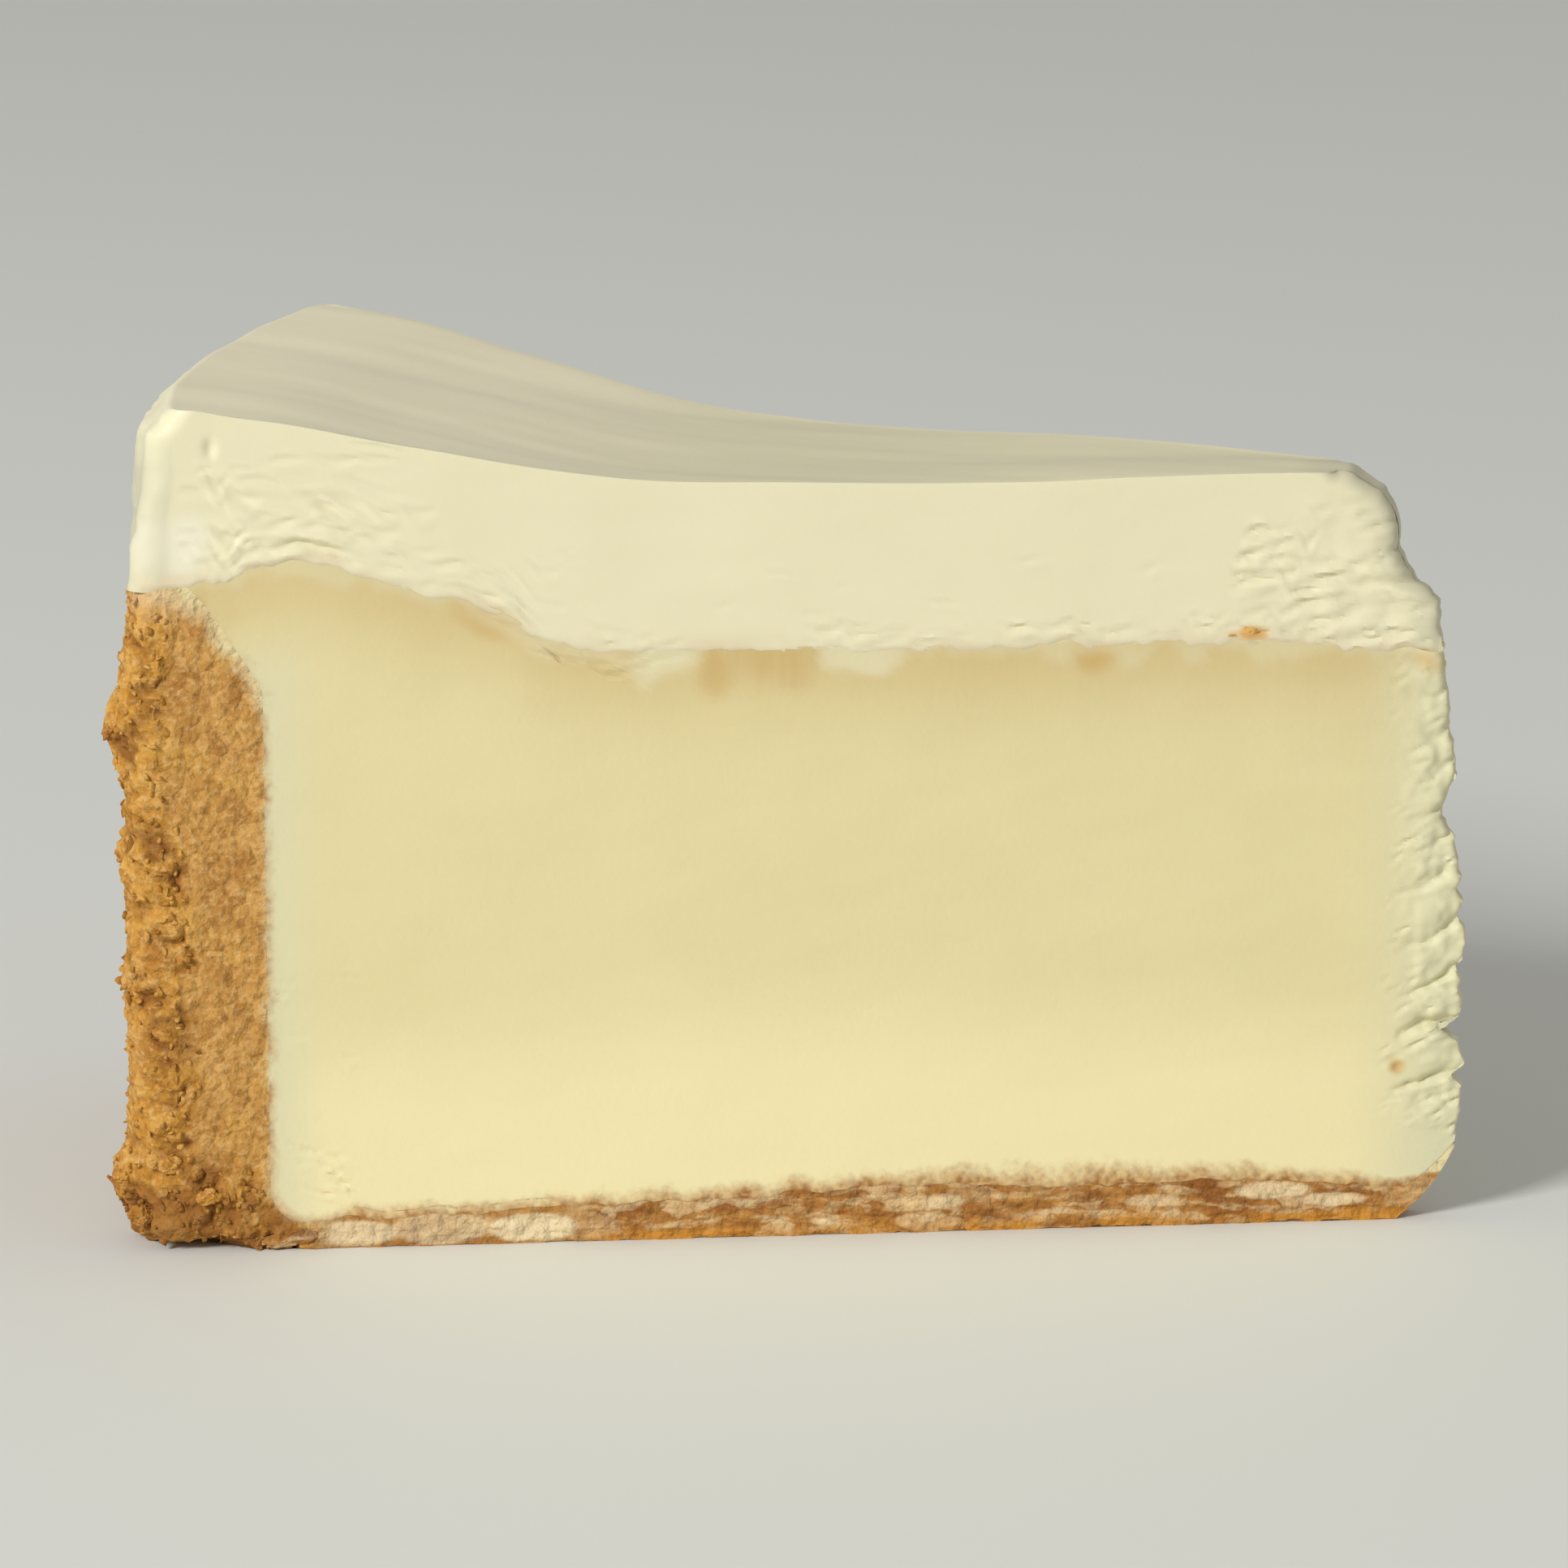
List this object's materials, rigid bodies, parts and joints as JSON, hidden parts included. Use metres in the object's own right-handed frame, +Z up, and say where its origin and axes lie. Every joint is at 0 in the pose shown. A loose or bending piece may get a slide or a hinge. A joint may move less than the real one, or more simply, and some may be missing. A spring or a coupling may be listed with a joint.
{
  "type": "cheesecake slice",
  "caption": "Tall wedge of baked cheesecake standing on its base, with a biscuit-crumb wall and base, pale filling and dished cream topping.",
  "frame": {"origin": "on the flat underside of the crumb base, under the middle of the bounding box", "axes": "+Z up; +X along the slice's centre line from the rim to the tip; +Y from the nearer cut to the farther cut"},
  "size_m": [0.1234, 0.0632, 0.0781],
  "materials": {
    "biscuit_crumb": "rough pressed golden-brown biscuit crumb",
    "baked_cheese": "smooth dense baked cheese, pale yellow",
    "set_cream": "smooth satin set cream, ivory"
  },
  "bodies": {
    "root": {"crumb_crust": "biscuit_crumb", "cheese_filling": "baked_cheese", "cream_topping": "set_cream"}
  },
  "joints": []
}
